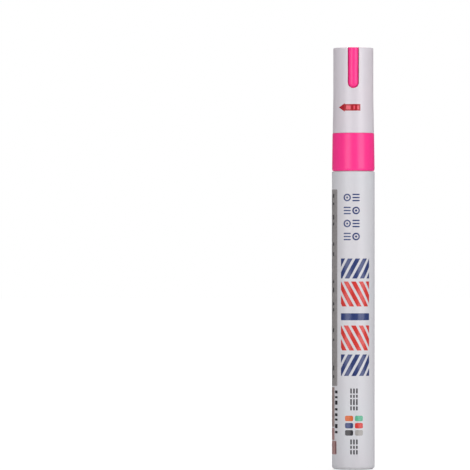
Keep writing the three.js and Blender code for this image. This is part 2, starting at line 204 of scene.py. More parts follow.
class Finish(Nodes):
    """A procedural material round one Principled shader."""

    def __init__(self, name, colour, roughness, metallic=0.0, coat=0.0, coat_roughness=0.1):
        self.material = new_material(name)
        self.material.diffuse_color = (*colour, 1)
        super().__init__(self.material.node_tree)
        self.shader = self.tree.nodes["Principled BSDF"]
        self.colour = colour
        self.give("Base Color", (*colour, 1))
        self.give("Roughness", roughness)
        self.give("Metallic", metallic)
        self.give("IOR", COATING_IOR)
        self.give("Coat Weight", coat)
        self.give("Coat Roughness", coat_roughness)
        self.give("Coat IOR", COATING_IOR)
        self.place = self.add("TexCoord").outputs["Object"]
        self.last_bump = None

    def give(self, socket, source):
        self.feed(self.shader.inputs[socket], source)

    def noise(self, scale, detail, stretch=None, distortion=0.0):
        """A noise texture. Stretch scales its place, with a factor for each axis."""
        place = self.place
        if stretch:
            place = self.add("Mapping", {"Vector": place, "Scale": stretch}).outputs["Vector"]
        sources = {"Vector": place, "Scale": scale, "Detail": detail, "Distortion": distortion}
        return self.add("TexNoise", sources).outputs["Fac"]

    def cells(self, scale):
        return self.add("TexVoronoi", {"Vector": self.place, "Scale": scale}).outputs

    def height(self, low, high, to_low=0.0, to_high=1.0):
        """to_low below z = low and to_high above z = high, both heights in metres."""
        split = self.add("SeparateXYZ", {"Vector": self.place})
        return self.remap(split.outputs["Z"], low, high, to_low, to_high)

    def spread(self, texture, to_low=0.0, to_high=1.0):
        """A noise texture, its usual range stretched to to_low and to_high."""
        return self.remap(texture, NOISE_LOW, NOISE_HIGH, to_low, to_high)

    def mix(self, factor, first, second):
        """A mix of two colours, each a tuple or the output of another node."""
        node = self.add("Mix", {"Factor": factor}, data_type="RGBA")
        for socket, colour in ((MIX_FIRST, first), (MIX_SECOND, second)):
            self.feed(node.inputs[socket], (*colour, 1) if isinstance(colour, tuple) else colour)
        return node.outputs[MIX_RESULT]

    def shade(self, *factors):
        """The finish's colour times one factor, or times one for each channel."""
        each = factors * (3 // len(factors))
        return tuple(min(1.0, c * factor) for c, factor in zip(self.colour, each))

    def paint(self, colour):
        self.give("Base Color", colour)

    def polish(self, texture, low, high):
        """Roughness between low and high, from a noise texture."""
        self.give("Roughness", self.spread(texture, low, high))

    def bump(self, texture, depth, strength):
        """Relief of a depth in metres, on top of the reliefs added before."""
        sources = {"Height": texture, "Distance": depth, "Strength": strength}
        if self.last_bump is not None:
            sources["Normal"] = self.last_bump
        self.last_bump = self.add("Bump", sources).outputs["Normal"]
        self.give("Normal", self.last_bump)


def pearl(name, colour, roughness, peel, darkened_foot=False):
    """Pearl white with fine flakes, a slow shift of tint and faint orange peel. With its foot darkened,
    it is darker in patches over its lowest 1.2 mm, just above the floor."""
    darkening_top, darkening_share, least_darkening = 1.2 * MM, 0.35, 0.3
    look = Finish(name, colour, roughness)
    shift = look.spread(look.noise(scale=70, detail=2))
    tint = look.mix(shift, look.shade(0.985, 1.0, 1.005), look.shade(1.015, 0.99, 1.0))
    flakes = look.remap(look.cells(scale=8000)["Color"], low=0.8, high=1.0, to_high=0.4)
    lighter = look.mix(flakes, tint, look.shade(1.07))
    wear = look.remap(look.noise(scale=2600, detail=4), low=0.66, high=0.74, to_high=0.12)
    surface = look.mix(wear, lighter, look.shade(0.9))
    # Darker in patches towards the bottom, over the lowest 1.2 mm above the floor
    if darkened_foot:
        patches = look.spread(look.noise(scale=900, detail=3), to_low=least_darkening)
        foot_darkening = look.math("MULTIPLY", look.height(0.0, darkening_top, to_low=1.0, to_high=0.0), patches)
        surface = look.mix(look.math("MULTIPLY", foot_darkening, darkening_share), surface, look.shade(0.55))
    look.paint(surface)
    look.polish(look.noise(scale=320, detail=2), roughness * 0.96, roughness * 1.04)
    look.bump(look.noise(scale=750, detail=1.5), 12 * MICRON, peel)
    look.bump(look.noise(scale=5200, detail=2), 4 * MICRON, 2 * peel)
    return look.material


def plastic(name, colour, roughness, streak=0.05, grain=0.3):
    """Moulded plastic: faint flow streaks along the axis, soft mottling and fine grain."""
    look = Finish(name, colour, roughness)
    flow = look.spread(look.noise(scale=420, detail=3, stretch=(1, 1, 0.12), distortion=0.4))
    streaked = look.mix(flow, look.shade(1 - streak), look.shade(1 + 0.6 * streak))
    specks = look.remap(look.noise(scale=3200, detail=4), low=0.68, high=0.76, to_high=0.3)
    look.paint(look.mix(specks, streaked, look.shade(0.8)))
    look.polish(look.noise(scale=420, detail=2), roughness * 0.95, roughness * 1.05)
    look.bump(look.noise(scale=600, detail=1.5, stretch=(1, 1, 0.4)), 12 * MICRON, grain)
    look.bump(look.noise(scale=6500, detail=2), 4 * MICRON, grain)
    return look.material


def ink(name, colour):
    """Screen print under a thin clear coat, with pinholes where the pale ground shows."""
    roughness, ink_share, ground_share = 0.34, 0.7, 0.18
    look = Finish(name, colour, roughness, coat=0.35, coat_roughness=0.09)
    film = look.mix(look.spread(look.noise(scale=1500, detail=3)), look.shade(0.86), look.shade(1.14))
    ground = tuple(min(1.0, ink_share * c + ground_share) for c in colour)
    middles = look.cells(scale=5200)["Distance"]
    holes = look.remap(middles, low=0.02, high=0.1, to_low=0.55, to_high=0.0)
    look.paint(look.mix(holes, film, ground))
    look.polish(look.noise(scale=900, detail=3), roughness * 0.85, roughness * 1.15)
    look.bump(look.noise(scale=2400, detail=2), 6 * MICRON, 0.3)
    return look.material


def steel(name, colour, roughness, stretch=None):
    """Bare steel with the fine marks of its drawing or grinding."""
    look = Finish(name, colour, roughness, metallic=1.0)
    marks = look.noise(scale=5000, detail=3, stretch=stretch)
    look.paint(look.mix(look.spread(marks), look.shade(0.85), look.shade(1.1)))
    look.polish(marks, roughness * 0.7, roughness * 1.3)
    look.bump(marks, 4 * MICRON, 0.3)
    return look.material


def rubber():
    """Matt black rubber with some pale dust on it."""
    look = Finish("rubber", (0.022, 0.022, 0.024), 0.72)
    dust = look.remap(look.noise(scale=1800, detail=5), low=0.55, high=0.75, to_high=0.5)
    look.paint(look.mix(dust, look.colour, (0.07, 0.068, 0.066)))
    look.polish(look.noise(scale=2500, detail=3), 0.62, 0.82)
    look.bump(look.noise(scale=5200, detail=4), 20 * MICRON, 0.4)
    return look.material


def nib_fibre():
    """Ground fibre along the nib, with the paint's pink drawn up into the tip."""
    creep_bottom, creep_top, creep_fray = (NIB_TOP - 6.5) * MM, (NIB_TOP - 0.8) * MM, 0.25
    pale_pink, full_pink = (0.72, 0.03, 0.17), (0.88, 0.09, 0.30)
    look = Finish("nib_fibre", (0.84, 0.79, 0.80), 0.85)
    strands = look.noise(scale=5200, detail=4, stretch=(1, 1, 0.05))
    pale = look.mix(look.spread(strands), look.shade(0.84), look.shade(1.05))
    pink_strands = look.mix(look.spread(strands), pale_pink, full_pink)
    fray = look.spread(strands, -creep_fray, creep_fray)
    creep = look.math("ADD", look.height(creep_bottom, creep_top), fray)
    look.paint(look.mix(look.remap(creep, low=0.15, high=0.75, to_low=0.04), pale, pink_strands))
    look.polish(strands, 0.72, 0.92)
    look.bump(strands, 50 * MICRON, 0.6)
    look.bump(look.noise(scale=9000, detail=3), 20 * MICRON, 0.4)
    return look.material


def felt_fibre():
    """Bonded felt: tangled fibres with a soft sheen."""
    look = Finish("felt", (0.78, 0.74, 0.72), 0.95)
    tangle = look.noise(scale=4200, detail=6, distortion=1.4)
    look.paint(look.mix(look.spread(tangle), look.shade(0.75), look.shade(1.08)))
    look.give("Sheen Weight", 0.3)
    look.bump(tangle, 80 * MICRON, 0.7)
    return look.material


INK_COLOURS = {
    "blue": (0.022, 0.04, 0.155),
    "red": (0.6, 0.03, 0.024),
    "arrow": (0.39, 0.008, 0.018),
    "arrow_mark": (0.73, 0.075, 0.11),
    "panel": (0.282, 0.264, 0.266),
    "block": (0.4, 0.235, 0.23),
    "block_edge": (0.17, 0.075, 0.08),
    "warm_grey": (0.33, 0.245, 0.235),
    "dark": (0.022, 0.02, 0.026),
    "orange": (0.62, 0.12, 0.02),
    "green": (0.1, 0.42, 0.26),
    "grey": (0.36, 0.34, 0.33),
}

lacquer = pearl("barrel_lacquer", (0.62, 0.615, 0.645), 0.40, peel=0.04, darkened_foot=True)
shell_pearl = pearl("cap_pearl", (0.66, 0.616, 0.66), 0.30, peel=0.025)
pink = plastic("pink_plastic", (0.975, 0.034, 0.262), 0.30, streak=0.02, grain=0.035)
white = plastic("white_plastic", (0.76, 0.75, 0.76), 0.38)
natural = plastic("natural_plastic", (0.80, 0.78, 0.72), 0.5, streak=0.07)
grey = plastic("grey_plastic", (0.52, 0.52, 0.54), 0.42)
black = rubber()
wire = steel("spring_steel", (0.55, 0.56, 0.58), 0.28, stretch=(1, 1, 0.2))
polished = steel("ball_steel", (0.60, 0.61, 0.63), 0.10)
fibre = nib_fibre()
felt = felt_fibre()
inks = {name: ink(f"{name}_ink", colour) for name, colour in INK_COLOURS.items()}

# Shapes

# Edges that turn by more than these stay sharp in the shading, and can have a bevel
SHARP_ANGLE, BEVEL_ANGLE = radians(32), radians(45)
# A profile's point nearer to the axis than this, in millimetres, lies on it
ON_AXIS = 1e-6
# How far off an end or a face an edge of it may be, in millimetres
END_SLACK, FACE_SLACK = 0.01, 0.1


def into_scene(name, data):
    made = bpy.data.objects.new(name, data)
    bpy.context.scene.collection.objects.link(made)
    return made


def to_object(name, bm, material):
    mesh = bpy.data.meshes.new(name)
    bm.to_mesh(mesh)
    bm.free()
    mesh.materials.append(material)
    return into_scene(name, mesh)


def strips(rows, closed=False):
    """Quads between neighbouring rows, of points or of vertices."""
    for near, far in zip(rows, rows[1:]):
        for k in range(len(near) if closed else len(near) - 1):
            n = (k + 1) % len(near)
            yield near[k], near[n], far[n], far[k]


def add_faces(bm, quads):
    """Faces from quads of vertices. A quad with two corners in one place is a triangle."""
    for quad in quads:
        face = list(dict.fromkeys(quad))
        if len(face) > 2:
            bm.faces.new(face)


def to_piece(name, bm, material, body, sharp_angle=SHARP_ANGLE):
    """A smooth piece that rides on a body."""
    bmesh.ops.recalc_face_normals(bm, faces=bm.faces)
    piece = to_object(name, bm, material)
    piece.data.shade_smooth()
    piece.data.set_sharp_from_angle(angle=sharp_angle)
    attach(piece, body)
    return piece


def weigh_normals(piece):
    """Keeps long faces flat next to small round corners."""
    weighted = piece.modifiers.new("weighted_normals", "WEIGHTED_NORMAL")
    weighted.keep_sharp = True
    return piece


def to_bevelled(name, bm, material, body, width, weight_of):
    """A piece with rounded edges. weight_of gives an edge's share of the width from its ends."""
    bmesh.ops.recalc_face_normals(bm, faces=bm.faces)
    weights = bm.edges.layers.float.new("bevel_weight_edge")
    for edge in bm.edges:
        if edge.calc_face_angle(0) > BEVEL_ANGLE:
            edge[weights] = weight_of([v.co / MM for v in edge.verts])
    piece = to_piece(name, bm, material, body)
    bevel = piece.modifiers.new("edges", "BEVEL")
    bevel.limit_method = "WEIGHT"
    bevel.width = width * MM
    bevel.segments = BEVEL_SEGMENTS
    return weigh_normals(piece)


def round_corners(corners):
    """Points of a profile of (radius, z, corner radius) entries, its corners replaced by arcs.
    An entry without a corner radius stays sharp."""
    points = []
    for before, corner, after in zip(corners[-1:] + corners[:-1], corners, corners[1:] + corners[:1]):
        p = Vector(corner[:2])
        fillet = corner[2] if len(corner) > 2 else 0
        if not fillet:
            points.append(tuple(p))
            continue
        back, ahead = ((Vector(other[:2]) - p).normalized() for other in (before, after))
        half = acos(max(-1, min(1, back.dot(ahead)))) / 2
        centre = p + (back + ahead).normalized() * (fillet / sin(half))
        start, end = (p + way * (fillet / tan(half)) - centre for way in (back, ahead))
        first = atan2(start.y, start.x)
        sweep = (atan2(end.y, end.x) - first + pi) % (2 * pi) - pi
        for k in range(CORNER_STEPS + 1):
            angle = first + sweep * k / CORNER_STEPS
            points.append((centre.x + fillet * cos(angle), centre.y + fillet * sin(angle)))
    return points


def lathe(name, corners, material, body, sides=SIDES):
    """A solid of revolution about Z. A profile that doesn't start on the axis is a closed one."""
    bm = bmesh.new()
    angles = [2 * pi * k / sides for k in range(sides)]
    rings = []
    for radius, z in round_corners(corners):
        r = radius * MM
        if radius < ON_AXIS:
            rings.append([bm.verts.new((0, 0, z * MM))] * sides)
        else:
            rings.append([bm.verts.new((r * cos(a), r * sin(a), z * MM)) for a in angles])
    if corners[0][0] > ON_AXIS:
        rings.append(rings[0])
    add_faces(bm, strips(rings, closed=True))
    return weigh_normals(to_piece(name, bm, material, body))


def barrel_tube():
    """A drawn cup with a dished base, its mouth rolled in."""
    dish_corner, rim_corner, base_corner, floor_corner = 0.25, 0.12, 1.1, 0.6
    shoulder_corner, lip_corner = 0.45, 0.12
    barrel = lathe("barrel_tube", [
        (0, DISH_DEPTH),
        (DISH_RIM - DISH_DEPTH, DISH_DEPTH, dish_corner),
        (DISH_RIM, 0, rim_corner),
        (BARREL_RADIUS, 0, base_corner),
        (BARREL_RADIUS, BARREL_TOP, shoulder_corner),
        (MOUTH_RADIUS, BARREL_TOP, lip_corner),
        (MOUTH_RADIUS, LIP_UNDERSIDE, lip_corner),
        (BARREL_BORE, LIP_UNDERSIDE),
        (BARREL_BORE, BARREL_FLOOR, floor_corner),
        (0, BARREL_FLOOR),
    ], lacquer, "pen")
    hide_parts("barrel")


def front_section():
    """The plug in the barrel's mouth, and the neck with a low bead that the cap slides over."""
    plug_corner, lead_corner, bead_foot, bead_crown = 0.1, 0.2, 0.3, 0.8
    neck_corner, bore_corner = 0.4, 0.1
    bead_middle = BARREL_TOP + BEAD_ABOVE_MOUTH
    section = lathe("front_section_body", [
        (LOWER_BORE, PLUG_BOTTOM),
        (PLUG_RADIUS - PLUG_LEAD, PLUG_BOTTOM, plug_corner),
        (PLUG_RADIUS, PLUG_BOTTOM + PLUG_LEAD, lead_corner),
        (PLUG_RADIUS, PLUG_TOP),
        (NECK_RADIUS, PLUG_TOP),
        (NECK_RADIUS, bead_middle - BEAD_HALF, bead_foot),
        (NECK_RADIUS + BEAD_HEIGHT, bead_middle, bead_crown),
        (NECK_RADIUS, bead_middle + BEAD_HALF, bead_foot),
        (NECK_RADIUS, NECK_TOP, neck_corner),
        (UPPER_BORE, NECK_TOP, bore_corner),
        (UPPER_BORE, WEB_BOTTOM + WEB_THICKNESS),
        (WEB_HOLE, WEB_BOTTOM + WEB_THICKNESS),
        (WEB_HOLE, WEB_BOTTOM),
        (LOWER_BORE, WEB_BOTTOM),
    ], white, "pen")
    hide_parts("front_section")


def nib_holder():
    """A spigot in the neck, a flange on top of it, and the tapered nose round the nib."""
    flange_foot, flange_corner, nose_foot, nose_corner, bore_corner = 0.12, 0.25, 0.2, 0.3, 0.15
    # The rounded corner takes this off the nose's tip
    corner_loss = 0.04
    holder = lathe("nib_holder_body", [
        (FELT_BORE, SPIGOT_BOTTOM),
        (SPIGOT_RADIUS, SPIGOT_BOTTOM),
        (SPIGOT_RADIUS, NECK_TOP),
        (FLANGE_RADIUS, NECK_TOP, flange_foot),
        (FLANGE_RADIUS, NOSE_BOTTOM, flange_corner),
        (NOSE_BASE, NOSE_BOTTOM, nose_foot),
        (NOSE_TIP + corner_loss, NOSE_TOP, nose_corner),
        (NIB_BORE, NOSE_TOP, bore_corner),
        (NIB_BORE, FELT_CHAMBER_TOP),
        (FELT_BORE, FELT_CHAMBER_TOP),
    ], white, "pen")
    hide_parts("nib_holder")


def nib_point():
    """A fibre rod with a bullet tip."""
    rear_corner, tip_bend, tip_corner = 0.2, 3.0, 0.7
    shoulder = NIB_TOP - NIB_TIP_LENGTH
    shoulder_step, shoulder_length, point_radius, point_length = 0.16, 1.3, 0.72, 0.42
    nib = lathe("nib_point", [
        (0, NIB_BOTTOM),
        (NIB_RADIUS, NIB_BOTTOM, rear_corner),
        (NIB_RADIUS, shoulder, tip_bend),
        (NIB_RADIUS - shoulder_step, shoulder + shoulder_length, tip_bend),
        (point_radius, NIB_TOP - point_length, tip_corner),
        (0, NIB_TOP),
    ], fibre, "nib", NIB_SIDES)
    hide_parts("nib")


def cap_liner():
    """The cup in the cap that closes over the nib."""
    rim_inside, rim_outside, top_corner, ceiling_corner = 0.1, 0.15, 0.3, 0.5
    bore, ceiling = LINER_RADIUS - LINER_WALL, LINER_TOP - LINER_TOP_THICKNESS
    liner = lathe("liner_cup", [
        (bore, LINER_BOTTOM, rim_inside),
        (LINER_RADIUS, LINER_BOTTOM, rim_outside),
        (LINER_RADIUS, LINER_TOP, top_corner),
        (0, LINER_TOP),
        (0, ceiling),
        (bore, ceiling, ceiling_corner),
    ], natural, "cap_liner")
    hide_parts("inner_cap")


def cap_core():
    """The ring, the tube under the shell with its closed top, and the rib in the slot."""
    edge, lower_edge, corner, lead_height, lead_step = 0.2, 0.4, 0.3, 0.9, 0.1
    collar_bore, collar_top = NECK_RADIUS + COLLAR_CLEARANCE, NOSE_BOTTOM + COLLAR_HEADROOM
    bore, disc_top = CORE_TOP_RADIUS - CORE_WALL, CAP_TOP - CORE_DISC_RECESS
    core = lathe("cap_core_body", [
        (collar_bore, CAP_BOTTOM, edge),
        (RING_BOTTOM_RADIUS - lead_step, CAP_BOTTOM, lower_edge),
        (RING_BOTTOM_RADIUS, CAP_BOTTOM + lead_height, corner),
        (RING_BOTTOM_RADIUS - RING_TAPER, RING_TOP, corner),
        (CORE_BOTTOM_RADIUS, RING_TOP),
        (CORE_TOP_RADIUS, FLARE_TOP),
        (CORE_TOP_RADIUS, disc_top, corner),
        (0, disc_top),
        (0, LINER_TOP),
        (bore, LINER_TOP, corner),
        (bore, collar_top, edge),
        (collar_bore, collar_top, corner),
    ], pink, "cap")
    cap_rib()
    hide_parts("cap_core")


def cap_rib():
    """The strip in the slot: crowned across, its lower end like a bullet, its edges eased."""
    ease, ease_steps, top_bevel = 0.3, 10, 0.22
    straight_rows, arc_steps, crown_insets = 12, 40, [0.62, 0.85, 1.1, 1.4, RIB_HALF_WIDTH]
    middle_z = RIB_BOTTOM + RIB_HALF_WIDTH
    heights = [CAP_TOP - (CAP_TOP - middle_z) * k / straight_rows for k in range(straight_rows)]
    arc = [pi * k / arc_steps for k in range(arc_steps + 1)]

    def outline(half):
        points = [(-half, z) for z in heights]
        points += [(-half * cos(a), middle_z - half * sin(a)) for a in arc]
        return points + [(half, z) for z in reversed(heights)]

    def face_depth(x, z, inset):
        off_centre = hypot(x, max(0.0, middle_z - z))
        crown = RIB_FACE - RIB_CROWN_RADIUS + sqrt(RIB_CROWN_RADIUS ** 2 - off_centre ** 2)
        if inset < ease:
            crown -= ease - sqrt(ease ** 2 - (ease - inset) ** 2)
        return crown

    def weight(ends):
        return 1.0 if min(p.z for p in ends) > CAP_TOP - END_SLACK else 0.0

    bm = bmesh.new()
    loops = [[bm.verts.new((x * MM, -RIB_BACK * MM, z * MM)) for x, z in outline(RIB_HALF_WIDTH)]]
    eased_insets = [ease * (1 - cos(pi / 2 * k / ease_steps)) for k in range(ease_steps + 1)]
    for inset in eased_insets + crown_insets:
        loops.append([
            bm.verts.new((x * MM, -face_depth(x, z, inset) * MM, z * MM))
            for x, z in outline(RIB_HALF_WIDTH - inset)
        ])
    add_faces(bm, strips(loops))
    bmesh.ops.remove_doubles(bm, verts=bm.verts, dist=5 * MICRON)
    bmesh.ops.holes_fill(bm, edges=[e for e in bm.edges if e.is_boundary], sides=0)
    to_bevelled("cap_rib", bm, pink, "cap", top_bevel, weight)


# The cap's shell is laid out flat first, in (u, z) points. From -1 to 1, u is a share of
# FRONT_HALF across the front, and on to BACK_U it is a share of the way round to the back.
# The slot lies in a square frame that reaches down to FRAME_BOTTOM.
FRONT_HALF, BACK_U, FRAME_BOTTOM = 4.0, 2.0, SLOT_BOTTOM - 2.1


def sleeve_layout():
    """Quads of (u, z) points that cover the shell, apart from a slot that is open at the top."""
    first_row, row_step, step_rows, last_row = 0.55, 2.3, 5, 0.5
    side_rows, corner_rows, front_columns, back_columns, rings = 8, 8, 32, 64, 8
    round_z = SLOT_BOTTOM + SLOT_HALF_WIDTH
    slot_share = SLOT_HALF_WIDTH / FRONT_HALF

    # Rows down the straight sides of the slot, then beside its round end
    straight_top = SHELL_TOP - first_row
    straight, corner = straight_top - round_z, round_z - FRAME_BOTTOM
    heights = [SHELL_TOP] + [straight_top - straight * k / side_rows for k in range(side_rows)]
    corners = [round_z - corner * k / corner_rows for k in range(corner_rows)]

    # The slot's outline, and the frame round it with as many points
    steps = 2 * corner_rows + front_columns
    arc = [pi + pi * k / steps for k in range(steps + 1)]
    front = [2.0 * k / front_columns - 1.0 for k in range(front_columns + 1)]
    inner = [(-slot_share, z) for z in heights]
    inner += [(slot_share * cos(a), round_z + SLOT_HALF_WIDTH * sin(a)) for a in arc]
    inner += [(slot_share, z) for z in reversed(heights)]
    outer = [(-1.0, z) for z in heights + corners]
    outer += [(u, FRAME_BOTTOM) for u in front]
    outer += [(1.0, z) for z in reversed(heights + corners)]

    loops = [[((1 - t) * a[0] + t * b[0], (1 - t) * a[1] + t * b[1]) for a, b in zip(inner, outer)]
             for t in (k / rings for k in range(rings + 1))]
    quads = list(strips(loops))

    # Plain columns: round both sides to the back beside the slot, and all the way round below
    left = [k / back_columns - BACK_U for k in range(back_columns + 1)]
    right = [k / back_columns + 1.0 for k in range(back_columns + 1)]
    beside = heights + corners + [FRAME_BOTTOM]
    below = [FRAME_BOTTOM] + [FLARE_TOP - row_step * k for k in range(step_rows)]
    below += [RING_TOP + last_row, RING_TOP]
    for columns, rows in ((left, beside), (right, beside), (left, below), (front, below), (right, below)):
        quads += strips([[(u, z) for z in rows] for u in columns])
    return quads


def shell_radius(z):
    """Outer radius of the cap's shell at a height."""
    share = min(1.0, max(0.0, (z - RING_TOP) / (FLARE_TOP - RING_TOP)))
    return SHELL_BOTTOM_RADIUS - SHELL_TAPER * share


def round_shell(u, z, depth):
    """Where a point of the layout lies in space, at a depth under the shell's outside."""
    radius = shell_radius(z) - depth
    front_edge = asin(FRONT_HALF / radius)
    if abs(u) <= 1.0:
        angle = asin(u * FRONT_HALF / radius)
    else:
        angle = copysign(front_edge + (abs(u) - 1.0) * (pi - front_edge), u)
    r = radius * MM
    return r * sin(angle), -r * cos(angle), z * MM


def cap_shell():
    """A sleeve with a slot that is open at the top."""
    top_bevel, edge_share = 0.38, 0.4
    bm = bmesh.new()
    made = {}

    def vertex(point, depth):
        u, z = point
        if isclose(u, -BACK_U):
            u = BACK_U
        key = (round(u, 5), round(z, 4), depth)
        if key not in made:
            made[key] = bm.verts.new(round_shell(u, z, depth))
        return made[key]

    def weight(ends):
        top = min(p.z for p in ends) > SHELL_TOP - END_SLACK
        outside = min(p.xy.length for p in ends) > SHELL_TOP_RADIUS - FACE_SLACK
        return 1.0 if top and outside else edge_share

    inside = {}
    for quad in sleeve_layout():
        outer, inner = ([vertex(p, depth) for p in quad] for depth in (0.0, SHELL_WALL))
        add_faces(bm, (outer, inner))
        inside.update(zip(outer, inner))
    # The rims, where outside and inside are joined
    for a, b in [edge.verts for edge in bm.edges if edge.is_boundary]:
        if a in inside:
            bm.faces.new((a, b, inside[b], inside[a]))
    sleeve = to_bevelled("cap_shell_sleeve", bm, shell_pearl, "cap", top_bevel, weight)
    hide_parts("cap_shell")


def return_spring():
    """A wire helix whose first and last turns lie closer, as ground ends do."""
    turn_steps, wire_sides, closing = 32, 12, 0.028
    steps = SPRING_TURNS * turn_steps
    low, high = SPRING_FLOOR + SPRING_WIRE, SPRING_TOP - SPRING_WIRE
    bm = bmesh.new()
    rings = []
    up = Vector((0, 0, 1))
    for k in range(steps + 1):
        t = k / steps
        angle = 2 * pi * SPRING_TURNS * t
        eased = t - closing * sin(2 * pi * t)
        outward = Vector((cos(angle), sin(angle), 0))
        centre = outward * SPRING_RADIUS + up * (low + (high - low) * eased)
        rings.append([
            bm.verts.new((centre + (outward * cos(a) + up * sin(a)) * SPRING_WIRE) * MM)
            for a in (2 * pi * s / wire_sides for s in range(wire_sides))
        ])
    add_faces(bm, strips(rings, closed=True))
    bm.faces.new(rings[0])
    bm.faces.new(rings[-1])
    coil = to_piece("return_spring", bm, wire, "pen")
    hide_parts("valve_spring")
    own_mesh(coil)


def steel_ball(number):
    """A polished ball, in the place of the solid with its number."""
    node = f"mixing_ball_{number}"
    (left, right), (bottom, top) = span(node, X), span(node)
    radius, middle = (top - bottom) / 2, (bottom + top) / 2
    arc = [pi * k / BALL_BANDS - pi / 2 for k in range(1, BALL_BANDS)]
    points = [(0, bottom), *((radius * cos(a), middle + radius * sin(a)) for a in arc), (0, top)]
    ball = lathe(f"steel_ball_{number}", points, polished, f"ball_{number}", BALL_SIDES)
    ball.data.transform(Matrix.Translation(((left + right) / 2 * MM, 0, 0)))
    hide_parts(node)


# Prints

# Lift of a print off its ground, and thickness of its film, in millimetres
PRINT_LIFT, PRINT_FILM = 0.004, 0.018
PRINT_STEP = radians(2.5)
PRINT_SHARP_ANGLE = radians(40)
PANEL_WRAP = radians(165)

# Columns and rows of the photograph that the prints are placed by
BLOCK_COLUMNS = (341.0, 369.0)
BLOCK_ROWS = (("blue", 258.5, 278.5), ("red", 281.5, 306.5), ("blue", 313.3, 320.3),
              ("red", 325.5, 350.5), ("blue", 354.5, 376.0))
TILE_COLUMNS, TILE_ROWS = (343.0, 360.5), (197.5, 210.5, 223.5, 236.5)
DASH_COLUMNS, DASH_ROWS = (350.3, 357.6), ((388.5, 411.5), (439.5, 454.5))
CHIP_COLUMN, CHIP_ROW = 349.0, 418.5
PANEL_DASH_ROWS = (194.0, 384.0)
SIDE_PANEL_DASH_ROWS = ((390.0, 425.0), (430.5, 438.0), (444.0, 452.5))
SIDE_DASH_COLUMNS, SIDE_DASH_ROWS = (335.15, 337.45), (390.5, 438.5)
EDGE_COLUMN, EDGE_ROWS = 336.5, (454.2, 441.3)
ARROW_ROW, ARROW_TIP, ARROW_NECK, ARROW_TAIL = 107.3, 339.0, 344.6, 360.4
ARROW_BARS = ((346.2, 350.6), (353.4, 355.0), (357.2, 359.0))
# Each panel's name, front column, top and bottom row, ink, and corner in millimetres
PANELS = (("panel", 337.3, 189.5, 386.0, "panel", 0.4),
          ("side_upper", 334.5, 387.3, 427.0, "warm_grey", 0.3),
          ("side_middle", 334.5, 428.0, 440.0, "block", 0.3),
          ("side_lower", 336.5, 441.0, 454.5, "block", 0.3))

# Kinds of dashes: half width, then the lengths and the gaps that take turns, in millimetres
BROKEN = (0.4, (1.3, 0.8, 1.6, 1.0, 1.1), (1.5, 3.2, 0.9, 5.5, 2.1, 8.0))
LONG = (0.3, (3.0, 5.2, 2.2, 6.4, 4.1), (0.9,))
SHORT = (0.35, (1.2, 2.0, 0.8, 2.3), (0.9, 0.7))
WIDE = (0.68, (0.95, 0.7, 1.35, 0.8), (0.9, 0.75, 1.1))


def nearness(arc, radius):
    """What a millimetre at the axis measures on a round surface nearer to the camera."""
    return 1 - radius * cos(arc / radius) / CAMERA_DISTANCE


def arc_of(column, radius=BARREL_RADIUS):
    """Arc length of the point seen at a column of the photograph, found in three rounds."""
    arc = 0.0
    for _ in range(3):
        arc = radius * asin((column - AXIS_X) * PIXEL * nearness(arc, radius) / radius)
    return arc


def height_of(row, arc=0.0):
    """Height on the barrel of the point seen at a row of the photograph."""
    return CAMERA_HEIGHT + (MIDDLE - row) * PIXEL * nearness(arc, BARREL_RADIUS)


def barrel_radius(_z):
    return BARREL_RADIUS


def over_print(radius_at):
    """The radius of a second print, which lies on a first."""
    return lambda z: radius_at(z) + PRINT_FILM + PRINT_LIFT


def printed(name, outlines, colour, radius_at=barrel_radius, body="pen"):
    """A thin closed film wrapped round the axis. Outlines are lists of (arc length, z) points in
    millimetres; arc length is measured from the front, to the right."""
    cut_slack = 1e-5
    bm = bmesh.new()
    for outline in outlines:
        bm.faces.new([bm.verts.new((s, 0, z)) for s, z in outline])
    furthest = max(abs(v.co.x) for v in bm.verts)
    middle = sum(v.co.z for v in bm.verts) / len(bm.verts)
    centre_radius = radius_at(middle)
    step = centre_radius * PRINT_STEP
    cuts = ceil(furthest / step)
    for k in range(-cuts, cuts + 1):
        bmesh.ops.bisect_plane(bm, geom=bm.verts[:] + bm.edges[:] + bm.faces[:], dist=cut_slack,
                               plane_co=(k * step, 0, 0), plane_no=(1, 0, 0))
    film = bmesh.ops.extrude_face_region(bm, geom=bm.faces[:], use_keep_orig=True)
    for item in film["geom"]:
        if isinstance(item, bmesh.types.BMVert):
            item.co.y = -PRINT_FILM
    for v in bm.verts:
        angle = v.co.x / centre_radius
        radius = radius_at(v.co.z) + PRINT_LIFT - v.co.y
        v.co = Vector((radius * sin(angle), -radius * cos(angle), v.co.z)) * MM
    bmesh.ops.triangulate(bm, faces=[f for f in bm.faces if len(f.verts) > 4])
    to_piece(name, bm, inks[colour], body, PRINT_SHARP_ANGLE)


def rounded_rect(s0, s1, z0, z1, radius, steps=5):
    spare = 1e-4
    radius = min(radius, (s1 - s0) / 2 - spare, (z1 - z0) / 2 - spare)
    points = []
    for cs, cz, start in ((s1 - radius, z1 - radius, 0), (s0 + radius, z1 - radius, 90),
                          (s0 + radius, z0 + radius, 180), (s1 - radius, z0 + radius, 270)):
        for k in range(steps + 1):
            angle = radians(start + 90 * k / steps)
            points.append((cs + radius * cos(angle), cz + radius * sin(angle)))
    return points


def centred_rect(s, z, half_width, half_height, corner):
    return rounded_rect(s - half_width, s + half_width, z - half_height, z + half_height, corner)


def arc_points(s, z, radius, angles):
    return [(s + radius * cos(a), z + radius * sin(a)) for a in angles]


def disc(s, z, radius, steps=28):
    return arc_points(s, z, radius, [2 * pi * k / steps for k in range(steps)])


def ring_band(s, z, outer, inner, steps=36):
    """A ring as two half rings, so that each outline is simple."""
    halves = []
    for start in (0, pi):
        arc = [start + pi * k / steps for k in range(steps + 1)]
        halves.append(arc_points(s, z, outer, arc) + arc_points(s, z, inner, reversed(arc)))
    return halves


